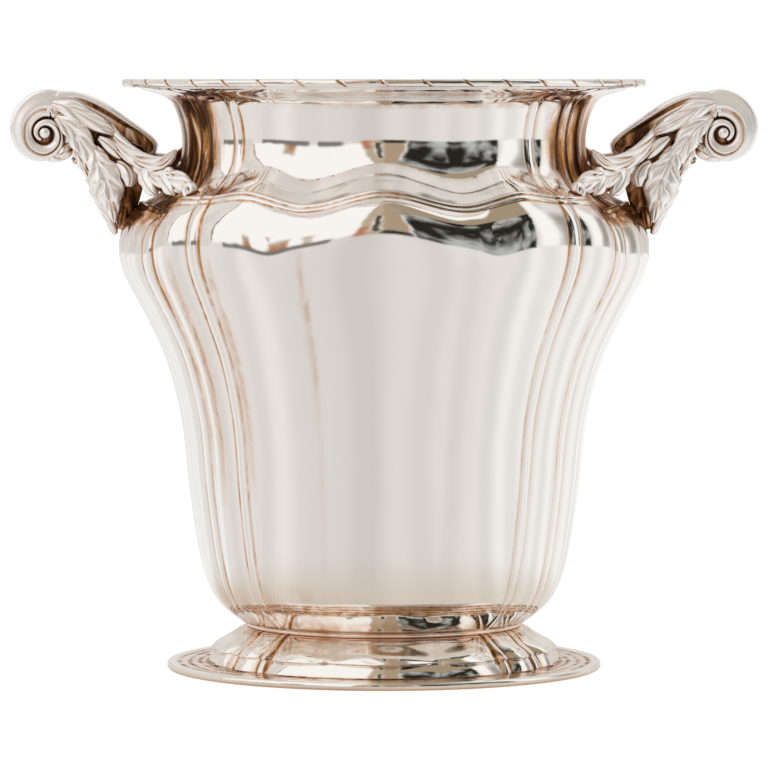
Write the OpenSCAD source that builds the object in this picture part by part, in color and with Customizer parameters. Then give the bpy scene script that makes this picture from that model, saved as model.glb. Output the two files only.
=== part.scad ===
// Silver champagne bucket: a lobed baluster bowl on a domed foot, with a pair
// of cast acanthus scroll handles. All lengths are in millimetres.
// The origin is the centre of the base on the table, +Z is up, the handles lie
// along X and the wide front panel faces -Y.

/* [Bowl] */
// Radius of the bowl where it meets the collar
waist_r = 55.5; // [54:0.5:57]
// Largest radius, at the shoulder
shoulder_r = 103.6; // [102:0.2:105]
// Height of the shoulder's largest radius
shoulder_h = 167; // [165:1:169]
// Smallest radius of the neck
neck_r = 78.5; // [77:0.5:80]
// Height of the rim's upper edge
total_h = 230; // [229:0.5:232]
// Thickness of the raised sheet
sheet_t = 1.4; // [1.2:0.1:1.8]
// Depth of the creases between the lobes at a radius of 100
crease_depth = 2.4; // [1:0.2:3.4]

/* [Rim] */
// Outer radius of the rim
rim_r = 102; // [101:0.5:104]
// Width of the rounded border on the rim
rim_border_w = 4; // [3:0.5:5]
// Height of the rounded border on the rim
rim_border_h = 3; // [2.5:0.25:3.25]

/* [Foot] */
// Radius of the domed foot where it lands on the base plate
dome_r = 68.6; // [66:0.2:70]
// Outer radius of the base
base_r = 84.8; // [82:0.2:88]
// Width of the round wire that edges the base
base_wire_w = 4; // [3:0.5:5]
// Height of the round wire that edges the base
base_wire_h = 3; // [2.5:0.25:3.5]

/* [Handles] */
// Distance from the bucket's axis to the eye of each volute
eye_x = 131.8; // [129:0.2:133]
// Height of the eye of each volute
eye_z = 209.1; // [207:0.2:211]
// Radius of the volute's centre line at its top
volute_r = 12.2; // [11.6:0.2:12.6]
// Turns that the volute makes
volute_turns = 1.9; // [1.2:0.1:2]
// Half the width of the scroll's strap
strap_w = 8.5; // [7:0.5:10]

/* [Hidden] */
$fn = 96;

SILVER = "silver";
PALE_SILVER = "gainsboro";
WARM_SILVER = "tan";

// Clearance that the solder fills between the handles and the bowl
solder_gap = 0.05;

// Heights of the stack: base plate, dome, collar, bowl
plate_top = 2.6;
plate_t = 1.3;
dome_top = 16.5;
bowl_bottom = 18.5;
lip_top = total_h - rim_border_h - 0.4;

// Angles are measured from the front (-Y) or back, towards the handles.
// Each lobe: start angle, end angle, crease at its start, crease at its end,
// fullness of its crown (1 brings the crown to the full radius), divisions.
SOFT = 0.65;
LOBES = [
    [-18, 18, SOFT, SOFT, 1, 6],
    [18, 43.6, SOFT, 1, 1, 4],
    [43.6, 47.6, 1, 1, 0.6, 2],
    [47.6, 61, 1, 1, 1, 3],
    [61, 66, 1, 1, 0.6, 2],
    [66, 78, 1, SOFT, 1, 2],
    [78, 102, SOFT, SOFT, 1, 4]
];

// The crest between neck and shoulder rises and dips: angle, rise
CREST = [
    [0, 2.4], [18.7, -3.4], [34, 1.6], [44, -0.4], [53, -1], [61, -6], [66, -6.5], [72, -5], [78, -5.5], [90, -4]
];

// So does the widest line of the shoulder, less: angle, rise
SHOULDER = [
    [0, 6], [20, 0.3], [30, 0], [42, 0.8], [54, 0], [66, -3.5], [90, -3]
];

// Bowl from collar to crest: radius, height, share of the creases, share of
// the crest's rise and dip, share of the shoulder's
BOWL = [
    [waist_r, bowl_bottom, 0.4, 0, 0],
    [65.5, 27, 0.6, 0, 0],
    [71.5, 42, 0.8, 0, 0],
    [76, 70, 0.9, 0, 0],
    [79.2, 98, 1, 0, 0],
    [85.4, 122, 1, 0, 0.1],
    [94, 141, 1, 0, 0.35],
    [shoulder_r - 2.3, shoulder_h - 11, 1, 0, 0.8],
    [shoulder_r, shoulder_h, 1, 0, 1],
    [shoulder_r - 2, shoulder_h + 11, 1, 0.45, 0.55],
    [96.5, 184.5, 1, 1, 0]
];

// Neck from crest to lip, in the same form
NECK = [
    [95, 185.8, 1, 1, 0],
    [86.5, 189.8, 1, 0.9, 0],
    [neck_r + 1.7, 197, 1, 0.6, 0],
    [neck_r, 206, 1, 0.2, 0],
    [neck_r + 0.8, 212, 1, 0, 0],
    [81.4, 218.8, 0.9, 0, 0],
    [84.8, 223.2, 0.7, 0, 0],
    [rim_r - 7.5, lip_top - 0.7, 0.4, 0, 0],
    [rim_r - 7.1, lip_top, 0.4, 0, 0]
];

// Dome of the foot from the collar to the base plate, in the same form
DOME = [
    [51, dome_top, 0, 0, 0],
    [55.2, dome_top - 0.1, 1.1, 0, 0],
    [59.6, 13, 1.9, 0, 0],
    [64.2, 8.8, 2.1, 0, 0],
    [67.2, 5.4, 2, 0, 0],
    [dome_r, plate_top, 1.4, 0, 0]
];

// Rings of the bowl that the coarser inner wall skips between
INNER_STEP = 2;

function lerp(a, b, t) = a + (b - a) * t;

// Angle folded into one quarter of the plan
function folded(a) = let (m = a % 180) m <= 90 ? m : 180 - m;

// Index of the lobe that holds folded angle q
function lobe_at(q, i = 0) = q <= LOBES[i][1] || i == len(LOBES) - 1 ? i : lobe_at(q, i + 1);

// Depth below the crown at folded angle q, as a share of the crease depth
function relief(q) =
    let (l = LOBES[lobe_at(q)])
    let (t = (q - l[0]) / (l[1] - l[0]))
    lerp(l[2], l[3], t) - (l[2] + l[3]) / 2 * l[4] * 4 * t * (1 - t);

// Rise at folded angle q from a list such as CREST, eased from point to point
function rise(list, q, i = 0) =
    q > list[i + 1][0] && i < len(list) - 2
        ? rise(list, q, i + 1)
        : let (t = (q - list[i][0]) / (list[i + 1][0] - list[i][0]))
          lerp(list[i][1], list[i + 1][1], (1 - cos(180 * t)) / 2);

// One quarter's angles, every crease among them
QUARTER = [
    for (l = LOBES)
        for (k = [0 : l[5] - 1])
            let (a = l[0] + (l[1] - l[0]) * k / l[5])
            if (a >= 0 && a < 90) a
];
LAST = len(QUARTER) - 1;
AROUND = concat(
    QUARTER,
    [for (k = [0 : LAST]) k == 0 ? 90 : 180 - QUARTER[LAST + 1 - k]],
    [for (a = QUARTER) 180 + a],
    [for (k = [0 : LAST]) k == 0 ? 270 : 360 - QUARTER[LAST + 1 - k]]
);

// Smooth curve through every point of p, with n steps between neighbours
function curve(p, n) = concat(
    [
        for (i = [0 : len(p) - 2])
            for (k = [0 : n - 1])
                let (a = p[max(i - 1, 0)])
                let (b = p[i])
                let (c = p[i + 1])
                let (d = p[min(i + 2, len(p) - 1)])
                let (t = k / n)
                (2 * b + (c - a) * t + (2 * a - 5 * b + 4 * c - d) * t * t
                    + (3 * b - a - 3 * c + d) * t * t * t) / 2
    ],
    [p[len(p) - 1]]
);

// Profile p moved inwards, square to itself, by t
function inset(p, t) = [
    for (i = [0 : len(p) - 1])
        let (s = p[min(i + 1, len(p) - 1)] - p[max(i - 1, 0)])
        let (run = norm([s[0], s[1]]))
        [p[i][0] - t * s[1] / run, p[i][1] + t * s[0] / run, p[i][2], p[i][3], p[i][4]]
];

// Point of profile point p at angle a round the lobed plan
function on_lobes(p, a) =
    let (q = folded(a))
    let (r = p[0] * (1 - crease_depth / 100 * relief(q) * p[2]))
    [r * sin(a), -r * cos(a), p[1] + p[3] * rise(CREST, q) + p[4] * rise(SHOULDER, q)];

function reversed(p) = [for (i = [len(p) - 1 : -1 : 0]) p[i]];

// Triangles between ring i and ring j, each with n points
function band(i, j, n) = [
    for (k = [0 : n - 1])
        let (m = (k + 1) % n)
        each [[i * n + k, j * n + m, i * n + m], [i * n + k, j * n + k, j * n + m]]
];

// Solid of a closed stack of rings, capped flat at both ends
module capped_rings(rings) {
    n = len(AROUND);
    last = len(rings) - 1;
    points = concat(
        [for (p = rings) for (a = AROUND) on_lobes(p, a)],
        [[0, 0, rings[0][1]], [0, 0, rings[last][1]]]
    );
    foot_centre = (last + 1) * n;
    top_centre = foot_centre + 1;
    polyhedron(
        points,
        concat(
            [for (i = [0 : last - 1]) each band(i, i + 1, n)],
            [for (k = [0 : n - 1]) [foot_centre, k, (k + 1) % n]],
            [for (k = [0 : n - 1]) [top_centre, last * n + (k + 1) % n, last * n + k]]
        )
    );
}

// Ring-shaped solid whose section is the closed loop of profile points
module looped_rings(rings) {
    n = len(AROUND);
    polyhedron(
        [for (p = rings) for (a = AROUND) on_lobes(p, a)],
        [for (i = [0 : len(rings) - 1]) each band(i, (i + 1) % len(rings), n)]
    );
}

bowl_curve = curve(BOWL, 2);
neck_curve = curve(NECK, 2);
outer_wall = concat(bowl_curve, neck_curve);
inset_wall = reversed(inset(outer_wall, sheet_t));
inner_wall = [
    for (i = [0 : INNER_STEP : len(inset_wall) - 2])
        i == 0 ? [inset_wall[0][0], lip_top, inset_wall[0][2], 0, 0] : inset_wall[i]
];
inner_floor = [[waist_r - sheet_t - 3, bowl_bottom + sheet_t, 0.4, 0, 0]];

// Solid outline of the bowl, used to cut the handles to the bowl's surface
module bowl_outline(gap) {
    capped_rings(concat(inset(bowl_curve, -gap), inset(neck_curve, -gap)));
}

module body_shell() {
    color(SILVER)
        capped_rings(concat(outer_wall, inner_wall, inner_floor));
}

module foot_dome() {
    outside = curve(DOME, 2);
    color(SILVER)
        looped_rings(concat(
            outside,
            [[dome_r - sheet_t, plate_top, 1.4, 0, 0]],
            reversed([for (i = [0 : len(outside) - 2]) inset(outside, sheet_t)[i]])
        ));
}

// Ring with rounded outer corners: inner radius, outer radius, bottom, height
module round_ring(r_in, r_out, z, h, round_r) {
    translate([0, 0, z])
        rotate_extrude()
            union() {
                translate([r_in, 0])
                    square([r_out - r_in - round_r, h]);
                translate([r_in, round_r])
                    square([r_out - r_in, h - 2 * round_r]);
                for (y = [round_r, h - round_r])
                    translate([r_out - round_r, y])
                        circle(round_r);
            }
}

module rim_flange() {
    color(PALE_SILVER)
        round_ring(rim_r - 12, rim_r - rim_border_w, lip_top, 1.4, 0);
}

module rim_border() {
    color(PALE_SILVER)
        round_ring(rim_r - rim_border_w, rim_r, total_h - rim_border_h, rim_border_h, 1.2);
}

module foot_collar() {
    color(WARM_SILVER)
        round_ring(waist_r - 6, waist_r - 1.7, dome_top, bowl_bottom - dome_top, 0.9);
}

module base_plate() {
    color(PALE_SILVER)
        round_ring(dome_r - 4, base_r - base_wire_w, plate_top - plate_t, plate_t, 0);
}

module base_edge_wire() {
    color(PALE_SILVER)
        round_ring(base_r - base_wire_w, base_r, 0, base_wire_h, 1.2);
}

// Centre line of the scroll: position and half thickness, from the small
// curl near the neck up the arm, over the top and round the volute
ARM = [
    [92.5, 201.6, 2.2],
    [90.6, 204, 2.4],
    [94.5, 207, 3],
    [101, 210.2, 4.2],
    [107.5, 213.4, 5.4],
    [114, 216.8, 5.8],
    [121, 219.8, 5.3]
];
TURN_STEP = 0.1;
VOLUTE_SHRINK = 0.8;
STRAP_T = 4.8;
STRAP_THINNING = 1.25;
STRAP_T_LEAST = 1;
VOLUTE = [
    for (t = [-0.05 : TURN_STEP : volute_turns])
        let (r = volute_r * exp(-VOLUTE_SHRINK * t))
        let (a = 90 - 360 * t)
        let (h = max(STRAP_T * exp(-STRAP_THINNING * t), STRAP_T_LEAST))
        [eye_x + r * cos(a), eye_z + r * sin(a), h]
];

// Thin web that closes the space between the strap's lower end and the
// branches, in the same form as the arm
ARM_WEB = [
    [90.6, 202, 2.4],
    [96, 203, 3.2],
    [102, 205, 4.2]
];
ARM_WEB_W = 3;

// Disc that closes the coils of the volute: its radius, and how far its faces
// lie below the strap's edges
VOLUTE_WEB_R = 7.3;
VOLUTE_WEB_SINK = 2.5;

// Boss at the eye of the volute: its radius, and its rise above the strap
EYE_R = 2;
EYE_RISE = 1;

// Slice of strap: a disc on edge, w wide to each side
module strap_slice(p, w) {
    translate([p[0], 0, p[1]])
        rotate([90, 0, 0])
            cylinder(r = p[2], h = 2 * w, center = true, $fn = 12);
}

module strap_chain(line, w) {
    for (i = [0 : len(line) - 2])
        hull() {
            strap_slice(line[i], w);
            strap_slice(line[i + 1], w);
        }
}

module scroll_solid() {
    strap_chain(concat(ARM, VOLUTE), strap_w);
    strap_chain(ARM_WEB, ARM_WEB_W);
    strap_slice([eye_x, eye_z, VOLUTE_WEB_R], strap_w - VOLUTE_WEB_SINK);
    strap_slice([eye_x, eye_z, EYE_R], strap_w + EYE_RISE);
}

// Rounded blob: position, half sizes along X, Y and Z
module blob(p) {
    translate([p[0], p[1], p[2]])
        scale([p[3], p[4], p[5]])
            sphere(r = 1, $fn = 8);
}

module blob_chain(line) {
    for (i = [0 : len(line) - 2])
        hull() {
            blob(line[i]);
            blob(line[i + 1]);
        }
}

// Strap that runs from the fork round the side lobe to the crest in front
BRANCH = [
    [103.5, -9, 206, 4, 3.4, 4.4],
    [99.5, -15, 201.8, 3, 3, 3.8],
    [94, -22, 198.4, 2.4, 2.4, 3.4],
    [88, -31, 197, 2.4, 2.4, 3.2],
    [81.5, -40, 196, 2.4, 2.4, 3.4],
    [75.5, -47.5, 192.2, 2.6, 2.6, 3.6],
    [71.5, -51.5, 188, 3.2, 3.2, 3.2]
];
BRANCH_TIP = [
    [83, -38, 197.5, 1.8, 1.8, 2],
    [80.5, -39, 201.5, 0.8, 0.8, 0.8]
];
BRANCH_LOBE = [
    [88, -31, 194.5, 2.2, 2.2, 2.2],
    [88.5, -33.5, 188.8, 1.6, 1.6, 1.6]
];

module branch_solid() {
    blob_chain(BRANCH);
    blob_chain(BRANCH_TIP);
    blob_chain(BRANCH_LOBE);
}

// Acanthus leaf that runs down the arm's side and hangs in front of the
// shoulder
LEAF = [
    [117, -9.4, 214, 4.6, 2.4, 4.6],
    [113, -10.4, 208.6, 6, 2.8, 5],
    [109.5, -11.8, 202.6, 6.4, 3, 5],
    [107, -13.2, 196.6, 6.2, 3, 4.6],
    [105.6, -14.2, 190.6, 6.2, 2.8, 4.4],
    [105.4, -14.5, 185, 4.8, 2.4, 4],
    [105.2, -14.5, 180, 2.4, 1.8, 3],
    [104.6, -14, 174.4, 1, 1, 1.4]
];
LEAF_BUD = [
    [99.6, -15, 197.5, 2.2, 2.2, 2.6],
    [98.4, -15.5, 193, 2.2, 2.2, 2.8]
];

module leaf_solid() {
    blob_chain(LEAF);
    blob_chain(LEAF_BUD);
}

// Leaf down the middle of the handle's outer side
OUTER_LEAF = [
    [111, 0, 208, 3.4, 7, 4],
    [112.6, 0, 201, 2.8, 8, 3.4],
    [112.6, 0, 194, 2.4, 8, 3.2],
    [111, 0, 187, 2, 7, 3],
    [108.4, 0, 181, 1.8, 5, 3],
    [106.2, 0, 176, 1.5, 3.4, 2.6],
    [104.2, 0, 170, 1.2, 1.6, 2]
];

// Root of that leaf, which fills the angle between handle and crest
OUTER_ROOT = [
    [107, 0, 201, 4, 5, 4],
    [101, 0, 195, 5.4, 5, 5],
    [97.4, 0, 189, 6, 5, 5]
];

module outer_leaf_solid() {
    blob_chain(OUTER_LEAF);
    blob_chain(OUTER_ROOT);
}

// Small leaf that springs outwards under the volute
SPUR_LEAF = [
    [113.4, 0, 202, 2.4, 4, 2.6],
    [116.4, 0, 199.4, 2, 3.4, 2.2],
    [118.6, 0, 198.2, 1.5, 2.6, 1.8]
];

module spur_leaf_solid() {
    blob_chain(SPUR_LEAF);
}

// Draws its children on the handle's rear half
module rear() {
    mirror([0, 1, 0])
        children();
}

// Draws its children on the left handle
module left() {
    mirror([1, 0, 0])
        children();
}

module scroll() {
    color(SILVER)
        scroll_solid();
}

module branch() {
    color(WARM_SILVER)
        difference() {
            branch_solid();
            scroll_solid();
            bowl_outline(solder_gap);
        }
}

module leaf() {
    color(PALE_SILVER)
        difference() {
            leaf_solid();
            scroll_solid();
            branch_solid();
            bowl_outline(solder_gap);
        }
}

module outer_leaf() {
    color(PALE_SILVER)
        difference() {
            outer_leaf_solid();
            scroll_solid();
            leaf_solid();
            rear() leaf_solid();
            bowl_outline(solder_gap);
        }
}

module spur_leaf() {
    color(WARM_SILVER)
        difference() {
            spur_leaf_solid();
            scroll_solid();
            outer_leaf_solid();
        }
}

body_shell();
rim_flange();
rim_border();
foot_collar();
foot_dome();
base_plate();
base_edge_wire();
scroll();  // right_scroll
branch();  // right_front_branch
rear() branch();  // right_rear_branch
leaf();  // right_front_leaf
rear() leaf();  // right_rear_leaf
outer_leaf();  // right_outer_leaf
spur_leaf();  // right_spur_leaf
left() scroll();  // left_scroll
left() branch();  // left_front_branch
left() rear() branch();  // left_rear_branch
left() leaf();  // left_front_leaf
left() rear() leaf();  // left_rear_leaf
left() outer_leaf();  // left_outer_leaf
left() spur_leaf();  // left_spur_leaf
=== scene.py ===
import math

import bmesh
import bpy
import numpy as np
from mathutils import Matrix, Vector


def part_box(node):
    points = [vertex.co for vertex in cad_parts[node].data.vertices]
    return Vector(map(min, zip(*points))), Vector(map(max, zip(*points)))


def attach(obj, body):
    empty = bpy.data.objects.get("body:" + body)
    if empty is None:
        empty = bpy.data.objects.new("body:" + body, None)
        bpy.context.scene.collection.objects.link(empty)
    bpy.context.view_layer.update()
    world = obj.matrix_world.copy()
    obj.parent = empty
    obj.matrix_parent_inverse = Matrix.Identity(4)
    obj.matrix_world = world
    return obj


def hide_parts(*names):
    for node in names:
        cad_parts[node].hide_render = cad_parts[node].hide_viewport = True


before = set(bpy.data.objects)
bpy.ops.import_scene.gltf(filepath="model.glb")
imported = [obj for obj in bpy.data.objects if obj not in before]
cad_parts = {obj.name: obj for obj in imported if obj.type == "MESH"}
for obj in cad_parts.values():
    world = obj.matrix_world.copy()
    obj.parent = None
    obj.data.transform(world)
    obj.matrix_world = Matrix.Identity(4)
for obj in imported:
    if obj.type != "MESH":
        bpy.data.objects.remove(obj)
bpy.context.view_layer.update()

# A lobed silver champagne bucket with cast acanthus handles. Shapes are worked
# out in millimetres and written to the meshes in metres. The handles lie along
# X and the wide front panel faces -Y.
MM = 0.001


def extent(node, side, axis):
    """Lowest (side 0) or highest (side 1) reach of a CAD node along an axis, in millimetres."""
    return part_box(node)[side][axis] / MM


# ---- Driving dimensions ----

TOTAL_H = extent("rim_border", 1, 2)
RIM_R = extent("rim_border", 1, 0)
RIM_BORDER_Z = extent("rim_border", 0, 2)
RIM_BORDER_W = RIM_R - extent("rim_flange", 1, 0)
LIP_TOP = extent("rim_flange", 0, 2)
COLLAR_R = extent("foot_collar", 1, 0)
BOWL_BOTTOM = extent("foot_collar", 1, 2)
DOME_TOP = extent("foot_collar", 0, 2)
COLLAR_INSET = 1.7  # how far the bowl's bottom edge stands out past the collar
WAIST_R = COLLAR_R + COLLAR_INSET
SHOULDER_R = 103.6
SHOULDER_H = 167
NECK_R = 78.5
SHEET_T = 1.4
PLATE_TOP = extent("base_plate", 1, 2)
PLATE_BOTTOM = extent("base_plate", 0, 2)
PLATE_R = extent("base_plate", 1, 0)
BASE_R = extent("base_edge_wire", 1, 0)
BASE_WIRE_H = extent("base_edge_wire", 1, 2)
DOME_R = 68.6

# Angles run from the front (-Y) or back towards the handles. Each lobe: start,
# end, crease at its start and end, fullness of its crown.
SOFT = 0.65
CREASE_DEPTH = 2.4
CREASE_AT_R = 100  # radius at which the creases have just that depth
LOBES = [
    (-18, 18, SOFT, SOFT, 1),
    (18, 43.6, SOFT, 1, 1),
    (43.6, 47.6, 1, 1, 0.6),
    (47.6, 61, 1, 1, 1),
    (61, 66, 1, 1, 0.6),
    (66, 78, 1, SOFT, 1),
    (78, 102, SOFT, SOFT, 1),
]
CRISP_CREASES = (43.6, 47.6, 61, 66)

# Rise and dip of the crest, and of the shoulder's widest line: angle, rise
CREST = [
    (0, 2.4), (18.7, -3.4), (34, 1.6), (44, -0.4), (53, -1), (61, -6), (66, -6.5), (72, -5), (78, -5.5),
    (90, -4),
]
SHOULDER = [
    (0, 6), (20, 0.3), (30, 0), (42, 0.8), (54, 0), (66, -3.5), (90, -3),
]

# Profiles: radius, height, share of the creases, of the crest's rise, of the shoulder's
BOWL = [
    (WAIST_R, BOWL_BOTTOM, 0.4, 0, 0),
    (65.5, 27, 0.6, 0, 0),
    (71.5, 42, 0.8, 0, 0),
    (76, 70, 0.9, 0, 0),
    (79.2, 98, 1, 0, 0),
    (85.4, 122, 1, 0, 0.1),
    (94, 141, 1, 0, 0.35),
    (SHOULDER_R - 2.3, SHOULDER_H - 11, 1, 0, 0.8),
    (SHOULDER_R, SHOULDER_H, 1, 0, 1),
    (SHOULDER_R - 2, SHOULDER_H + 11, 1, 0.45, 0.55),
    (96.5, 184.5, 1, 1, 0),
]
NECK = [
    (95, 185.8, 1, 1, 0),
    (86.5, 189.8, 1, 0.9, 0),
    (NECK_R + 1.7, 197, 1, 0.6, 0),
    (NECK_R, 206, 1, 0.2, 0),
    (NECK_R + 0.8, 212, 1, 0, 0),
    (81.4, 218.8, 0.9, 0, 0),
    (84.8, 223.2, 0.7, 0, 0),
    (RIM_R - 7.5, LIP_TOP - 0.7, 0.4, 0, 0),
    (RIM_R - 7.1, LIP_TOP, 0.4, 0, 0),
]
DOME = [
    (51, DOME_TOP, 0, 0, 0),
    (55.2, DOME_TOP - 0.1, 1.1, 0, 0),
    (60, 13.4, 1.9, 0, 0),
    (64.9, 9.3, 2.1, 0, 0),
    (67.8, 5.4, 2, 0, 0),
    (DOME_R, PLATE_TOP, 1.4, 0, 0),
]


# ---- Curves and tables ----

TABLE_STEP = 0.05
TABLE = np.arange(0, 360, TABLE_STEP)
CREASE_REACH = 3.0  # degrees beside a crisp crease where the relief stays crisp
CRISP_ROUND = 0.22
SOFT_ROUND = 1.1
RISE_ROUND = 1.0
RING_ANGLES = np.arange(0, 360, 1.0)
COLUMN_STEP = 1.2
COLUMN_FINE = 0.16


def spline(points, steps):
    """Smooth curve through every control point, with that many steps between neighbours."""
    p = np.array(points, float)
    last = len(p) - 1
    out = []
    for i in range(last):
        a, b, c, d = p[max(i - 1, 0)], p[i], p[i + 1], p[min(i + 2, last)]
        for t in np.linspace(0, 1, steps, endpoint=False):
            cubic = 3 * b - a - 3 * c + d
            out.append((2 * b + (c - a) * t + (2 * a - 5 * b + 4 * c - d) * t * t + cubic * t ** 3) / 2)
    out.append(p[last])
    return np.array(out)


def arc_length(curve, dims=2):
    """Distance along a curve, measured in its first dims coordinates."""
    steps = np.linalg.norm(np.diff(curve[:, :dims], axis=0), axis=1)
    return np.concatenate([[0], np.cumsum(steps)])


def at_lengths(curve, where, dims=2):
    """Points of the curve at the given distances along it."""
    s = arc_length(curve, dims)
    return np.stack([np.interp(where, s, curve[:, k]) for k in range(curve.shape[1])], axis=1)


def eased(curve, width):
    """Curve with its bends softened over about that many samples; its ends stay."""
    reach = int(3 * width)
    kernel = np.exp(-0.5 * (np.arange(-reach, reach + 1) / width) ** 2)
    kernel /= kernel.sum()
    head = 2 * curve[0] - curve[reach:0:-1]
    tail = 2 * curve[-1] - curve[-2:-reach - 2:-1]
    long = np.vstack([head, curve, tail])
    return np.stack([np.convolve(long[:, k], kernel, "valid") for k in range(curve.shape[1])], axis=1)


def smoothstep(low, high, x):
    """Goes smoothly from 0 at low to 1 at high, which may be the lower number."""
    t = np.clip((np.asarray(x, float) - low) / (high - low), 0, 1)
    return t * t * (3 - 2 * t)


def hump(x):
    """Half circle: 1 at 0, and 0 from -1 outwards and from 1 outwards."""
    return np.sqrt(np.clip(1 - np.asarray(x, float) ** 2, 0, None))


def band(x, centre, width):
    """1 at the centre, falling away smoothly over the width."""
    return np.exp(-((np.asarray(x, float) - centre) / width) ** 2)


def unit_rows(vectors):
    """Each row of vectors at length 1."""
    return vectors / np.linalg.norm(vectors, axis=1, keepdims=True)


def folded(a):
    """Angle from the front or back towards the nearer handle, from 0 to 90 degrees."""
    m = np.asarray(a, float) % 180
    return np.where(m <= 90, m, 180 - m)


def relief_by_lobes():
    """Depth below the crown, as a share of the crease depth, for each angle of the table."""
    q = folded(TABLE)
    depth = np.zeros_like(q)
    for low, high, first, second, fullness in LOBES:
        t = (q - low) / (high - low)
        value = first + (second - first) * t - (first + second) / 2 * fullness * 4 * t * (1 - t)
        depth = np.where((q >= low) & (q <= high), value, depth)
    return depth


def round_smooth(values, degrees):
    """Values of the table softened round the circle over that many degrees."""
    frequency = np.fft.rfftfreq(len(values), TABLE_STEP)
    gain = np.exp(-2 * (math.pi * frequency * degrees) ** 2)
    return np.fft.irfft(np.fft.rfft(values) * gain, len(values))


def relief_table():
    """Relief with crisp creases beside the fillets and soft ones elsewhere."""
    q = folded(TABLE)
    raw = relief_by_lobes()
    near = np.zeros_like(q)
    for crease in CRISP_CREASES:
        near = np.maximum(near, band(q, crease, CREASE_REACH))
    return near * round_smooth(raw, CRISP_ROUND) + (1 - near) * round_smooth(raw, SOFT_ROUND)


def rise_table(list_of_rises):
    """Rise at each angle of the table, eased between the listed angles."""
    q = folded(TABLE)
    rise = np.zeros_like(q)
    for (low, start), (high, end) in zip(list_of_rises, list_of_rises[1:]):
        t = (1 - np.cos(np.pi * (q - low) / (high - low))) / 2
        rise = np.where((q >= low) & (q <= high), start + (end - start) * t, rise)
    return round_smooth(rise, RISE_ROUND)


RELIEF = relief_table()
CREST_RISE = rise_table(CREST)
SHOULDER_RISE = rise_table(SHOULDER)


def from_table(table, a):
    """Value of the table at any angles."""
    return np.interp(np.asarray(a) % 360, TABLE, table, period=360)


def columns():
    """Angles round a lobed piece, closer together beside the crisp creases."""
    spread = COLUMN_FINE * np.array([-6, -3.5, -2, -1, -0.4, 0, 0.4, 1, 2, 3.5, 6])
    plain = np.arange(0, 90, COLUMN_STEP)
    close = np.concatenate([crease + spread for crease in CRISP_CREASES])
    keep = [a for a in plain if np.min(np.abs(close - a)) > 0.6 * COLUMN_STEP]
    quarter = np.unique(np.round(np.concatenate([keep, close]), 3))
    inner = quarter[(quarter > 0.01) & (quarter < 89.9)]
    half = np.concatenate([[0], inner, [90], 180 - inner[::-1]])
    return np.concatenate([half, half + 180])


def on_lobes(profile, a):
    """Grid of points: one row for each profile point, one column for each angle."""
    depth = CREASE_DEPTH / CREASE_AT_R * from_table(RELIEF, a)[None, :] * profile[:, 2:3]
    r = profile[:, 0:1] * (1 - depth)
    z = profile[:, 1:2] + profile[:, 3:4] * from_table(CREST_RISE, a)[None, :]
    z = z + profile[:, 4:5] * from_table(SHOULDER_RISE, a)[None, :]
    return ring_points(r, z, a)


def ring_points(r, z, a):
    """Grid of points at radius r and height z, turned by a degrees from the front."""
    turn = np.radians(a)[None, :]
    return np.stack([r * np.sin(turn), -r * np.cos(turn), z + 0 * turn], axis=2)


def push_out(points, distance):
    """Moves points straight out from the upright axis, by that many millimetres."""
    spread = 1 + distance / np.hypot(points[..., 0], points[..., 1])
    points[..., 0] *= spread
    points[..., 1] *= spread


# ---- Meshes ----

def grid_faces(rows, cols, close_rows=False):
    """Quads of a grid whose columns close round; close_rows joins the last row to the first."""
    i = np.arange(rows if close_rows else rows - 1)[:, None]
    j = np.arange(cols)[None, :]
    up, right = (i + 1) % rows, (j + 1) % cols
    corners = np.stack([i * cols + j, i * cols + right, up * cols + right, up * cols + j], axis=2)
    return corners.reshape(-1, 4).tolist()


def loft(rings):
    """Closed solid through a stack of closed rings, with a fan at each end: points and faces."""
    rings = np.asarray(rings, float)
    rows, cols = rings.shape[:2]
    ends = np.stack([rings[0].mean(0), rings[-1].mean(0)])
    points = np.vstack([rings.reshape(-1, 3), ends])
    faces = grid_faces(rows, cols)
    first, last = rows * cols, (rows - 1) * cols
    faces += [(first, (k + 1) % cols, k) for k in range(cols)]
    faces += [(first + 1, last + k, last + (k + 1) % cols) for k in range(cols)]
    return points, faces


def torus(rings):
    """Closed ring-shaped solid: rows go round its section and columns round the axis."""
    rings = np.asarray(rings, float)
    rows, cols = rings.shape[:2]
    return rings.reshape(-1, 3), grid_faces(rows, cols, close_rows=True)


def joined(parts):
    """One shape from several, each with its points, faces and tarnish."""
    points, faces, stains_and_shade, start = [], [], [], 0
    for p, f, stain_and_shade in parts:
        points.append(p)
        stains_and_shade.append(stain_and_shade)
        faces += [tuple(i + start for i in face) for face in f]
        start += len(p)
    return np.vstack(points), faces, np.concatenate(stains_and_shade)


def mirrored(shape, axis):
    """Mirror image across an axis (0 is X, 1 is Y), its faces still outward."""
    points, faces, stain_and_shade = shape
    flipped = points.copy()
    flipped[:, axis] *= -1
    return flipped, [tuple(reversed(face)) for face in faces], stain_and_shade


def outward(mesh):
    """Turns every closed part of the mesh so that its normals face outwards."""
    work = bmesh.new()
    work.from_mesh(mesh)
    bmesh.ops.recalc_face_normals(work, faces=work.faces)
    work.to_mesh(mesh)
    work.free()


def piece(name, shape, material, slot, *nodes):
    """Makes a piece from points in millimetres, gives it its finish and puts it on the body."""
    points, faces = shape
    mesh = bpy.data.meshes.new(name)
    mesh.from_pydata((points * MM).tolist(), [], faces)
    outward(mesh)
    mesh.shade_smooth()
    mesh.materials.append(material)
    obj = bpy.data.objects.new(name, mesh)
    bpy.context.scene.collection.objects.link(obj)
    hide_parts(*nodes)
    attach(obj, "root")
    return obj


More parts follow.
